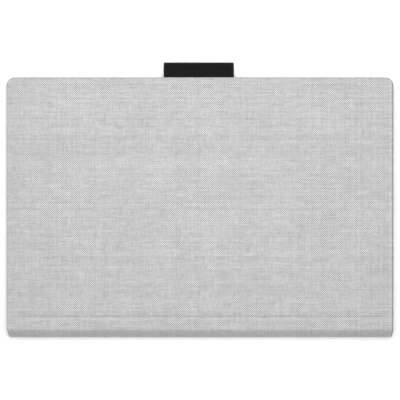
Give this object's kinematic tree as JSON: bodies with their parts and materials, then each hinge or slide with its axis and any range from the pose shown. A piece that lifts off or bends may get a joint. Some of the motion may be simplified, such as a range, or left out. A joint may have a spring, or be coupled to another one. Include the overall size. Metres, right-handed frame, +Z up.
{
  "type": "tablet keyboard case",
  "caption": "Fabric-covered folding tablet case with a snap-in tray, kickstand, soft unrolling spine, folding keyboard cover with travelling keys and touchpad, and a pen loop.",
  "frame": {"origin": "middle of the closed case's outline, pen loop included, on the surface that it lies on", "axes": "+X along the width, +Y from the spine towards the pen loop, +Z up through the closed case, keyboard cover on top"},
  "size_m": [0.25, 0.1786, 0.017],
  "materials": {
    "grey_weave": "light grey melange plain weave",
    "lining_grey": "dark grey microfibre",
    "board_black": "black laminate board and moulding",
    "tray_grey": "fine-grained grey moulding",
    "key_grey": "matt keycap plastic with pale legends",
    "deck_grey": "matt grey key frame and touchpad",
    "steel": "plain steel",
    "kick_alloy": "bead-blasted plate",
    "gold": "gold plated contact",
    "film": "printed contact film",
    "rubber": "moulded silicone dome sheet",
    "loop_black": "black elastic band",
    "board_green": "circuit board with solder mask",
    "cable_amber": "polyimide flat cable",
    "lens_white": "clear light guide"
  },
  "bodies": {
    "tray": {"tray_shell": "tray_grey", "tray_lining": "lining_grey", "rear_fabric_upper": "grey_weave", "rear_board_upper": "board_black", "spine_anchor_strip": "board_black", "spine_fabric_rear": "grey_weave", "kickstand_keeper": "steel", "pogo_housing": "board_black", "hinge_leaf_fixed_left": "steel", "hinge_leaf_fixed_right": "steel", "hinge_pin_left": "steel", "hinge_pin_right": "steel"},
    "kickstand": {"kickstand_plate": "kick_alloy", "kickstand_fabric": "grey_weave", "kickstand_magnet": "steel", "hinge_leaf_moving_left": "steel", "hinge_leaf_moving_right": "steel"},
    "spine_a": {"spine_fabric_a": "grey_weave", "flex_cable_a": "cable_amber", "spine_lining_a": "lining_grey"},
    "spine_b": {"spine_fabric_b": "grey_weave", "flex_cable_b": "cable_amber", "spine_lining_b": "lining_grey"},
    "spine_c": {"spine_fabric_c": "grey_weave", "flex_cable_c": "cable_amber", "spine_lining_c": "lining_grey"},
    "cover": {"front_fabric": "grey_weave", "front_stiffener": "board_black", "keyboard_base": "tray_grey", "key_membrane": "film", "dome_sheet": "rubber", "deck_frame": "deck_grey", "indicator_lens": "lens_white", "controller_board": "board_green", "cover_magnet_left": "steel", "cover_magnet_right": "steel", "touchpad_switch": "board_black", "pen_loop": "loop_black"},
    "touchpad": {"touchpad": "deck_grey"},
    "keys_function": {"keys_function": "key_grey"},
    "keys_number": {"keys_number": "key_grey"},
    "key_backspace": {"key_backspace": "key_grey"},
    "key_tab": {"key_tab": "key_grey"},
    "keys_upper": {"keys_upper": "key_grey"},
    "key_caps": {"key_caps": "key_grey"},
    "keys_home": {"keys_home": "key_grey"},
    "key_enter": {"key_enter": "key_grey"},
    "key_shift_left": {"key_shift_left": "key_grey"},
    "keys_lower": {"keys_lower": "key_grey"},
    "key_shift_right": {"key_shift_right": "key_grey"},
    "keys_bottom_left": {"keys_bottom_left": "key_grey"},
    "key_space": {"key_space": "key_grey"},
    "keys_bottom_right": {"keys_bottom_right": "key_grey"},
    "keys_arrow": {"keys_arrow": "key_grey"},
    "pogo_pin_1": {"pogo_pin_1": "gold"},
    "pogo_pin_2": {"pogo_pin_2": "gold"},
    "pogo_pin_3": {"pogo_pin_3": "gold"}
  },
  "joints": [
    {"name": "kickstand_fold", "type": "hinge", "parent": "tray", "child": "kickstand", "pos_m": [0, 0.003, 0.00115], "axis": [-1, 0, 0], "range_deg": [-60, 0]},
    {"name": "spine_fold_a", "type": "hinge", "parent": "tray", "child": "spine_a", "pos_m": [0, -0.0849, 0.0014], "axis": [1, 0, 0], "range_deg": [0, 60]},
    {"name": "spine_fold_b", "type": "hinge", "parent": "spine_a", "child": "spine_b", "pos_m": [0, -0.089, 0.0085], "axis": [1, 0, 0], "range_deg": [0, 60]},
    {"name": "spine_fold_c", "type": "hinge", "parent": "spine_b", "child": "spine_c", "pos_m": [0, -0.0849, 0.0156], "axis": [1, 0, 0], "range_deg": [0, 60]},
    {"name": "cover_crease", "type": "hinge", "parent": "spine_c", "child": "cover", "pos_m": [0, -0.0748, 0.01715], "axis": [1, 0, 0], "range_deg": [0, 180]},
    {"name": "touchpad_click", "type": "hinge", "parent": "cover", "child": "touchpad", "pos_m": [0, 0.0344, 0.012], "axis": [1, 0, 0], "range_deg": [0, 0.6], "stiffness_Nm_per_rad": 0.6, "springref_deg": -1.15},
    {"name": "keys_function_press", "type": "slide", "parent": "cover", "child": "keys_function", "axis": [0, 0, 1], "range_m": [0, 0.0012], "stiffness_N_per_m": 300, "springref_m": -0.0008},
    {"name": "keys_number_press", "type": "slide", "parent": "cover", "child": "keys_number", "axis": [0, 0, 1], "range_m": [0, 0.0012], "stiffness_N_per_m": 300, "springref_m": -0.0008},
    {"name": "key_backspace_press", "type": "slide", "parent": "cover", "child": "key_backspace", "axis": [0, 0, 1], "range_m": [0, 0.0012], "stiffness_N_per_m": 300, "springref_m": -0.0008},
    {"name": "key_tab_press", "type": "slide", "parent": "cover", "child": "key_tab", "axis": [0, 0, 1], "range_m": [0, 0.0012], "stiffness_N_per_m": 300, "springref_m": -0.0008},
    {"name": "keys_upper_press", "type": "slide", "parent": "cover", "child": "keys_upper", "axis": [0, 0, 1], "range_m": [0, 0.0012], "stiffness_N_per_m": 300, "springref_m": -0.0008},
    {"name": "key_caps_press", "type": "slide", "parent": "cover", "child": "key_caps", "axis": [0, 0, 1], "range_m": [0, 0.0012], "stiffness_N_per_m": 300, "springref_m": -0.0008},
    {"name": "keys_home_press", "type": "slide", "parent": "cover", "child": "keys_home", "axis": [0, 0, 1], "range_m": [0, 0.0012], "stiffness_N_per_m": 300, "springref_m": -0.0008, "deforming": ["dome_sheet"]},
    {"name": "key_enter_press", "type": "slide", "parent": "cover", "child": "key_enter", "axis": [0, 0, 1], "range_m": [0, 0.0012], "stiffness_N_per_m": 300, "springref_m": -0.0008},
    {"name": "key_shift_left_press", "type": "slide", "parent": "cover", "child": "key_shift_left", "axis": [0, 0, 1], "range_m": [0, 0.0012], "stiffness_N_per_m": 300, "springref_m": -0.0008},
    {"name": "keys_lower_press", "type": "slide", "parent": "cover", "child": "keys_lower", "axis": [0, 0, 1], "range_m": [0, 0.0012], "stiffness_N_per_m": 300, "springref_m": -0.0008},
    {"name": "key_shift_right_press", "type": "slide", "parent": "cover", "child": "key_shift_right", "axis": [0, 0, 1], "range_m": [0, 0.0012], "stiffness_N_per_m": 300, "springref_m": -0.0008},
    {"name": "keys_bottom_left_press", "type": "slide", "parent": "cover", "child": "keys_bottom_left", "axis": [0, 0, 1], "range_m": [0, 0.0012], "stiffness_N_per_m": 300, "springref_m": -0.0008},
    {"name": "key_space_press", "type": "slide", "parent": "cover", "child": "key_space", "axis": [0, 0, 1], "range_m": [0, 0.0012], "stiffness_N_per_m": 300, "springref_m": -0.0008},
    {"name": "keys_bottom_right_press", "type": "slide", "parent": "cover", "child": "keys_bottom_right", "axis": [0, 0, 1], "range_m": [0, 0.0012], "stiffness_N_per_m": 300, "springref_m": -0.0008},
    {"name": "keys_arrow_press", "type": "slide", "parent": "cover", "child": "keys_arrow", "axis": [0, 0, 1], "range_m": [0, 0.0012], "stiffness_N_per_m": 300, "springref_m": -0.0008},
    {"name": "pogo_pin_1_press", "type": "slide", "parent": "tray", "child": "pogo_pin_1", "axis": [0, -1, 0], "range_m": [0, 0.0005], "stiffness_N_per_m": 800, "springref_m": -0.0003},
    {"name": "pogo_pin_2_press", "type": "slide", "parent": "tray", "child": "pogo_pin_2", "axis": [0, -1, 0], "range_m": [0, 0.0005], "stiffness_N_per_m": 800, "springref_m": -0.0003},
    {"name": "pogo_pin_3_press", "type": "slide", "parent": "tray", "child": "pogo_pin_3", "axis": [0, -1, 0], "range_m": [0, 0.0005], "stiffness_N_per_m": 800, "springref_m": -0.0003}
  ]
}
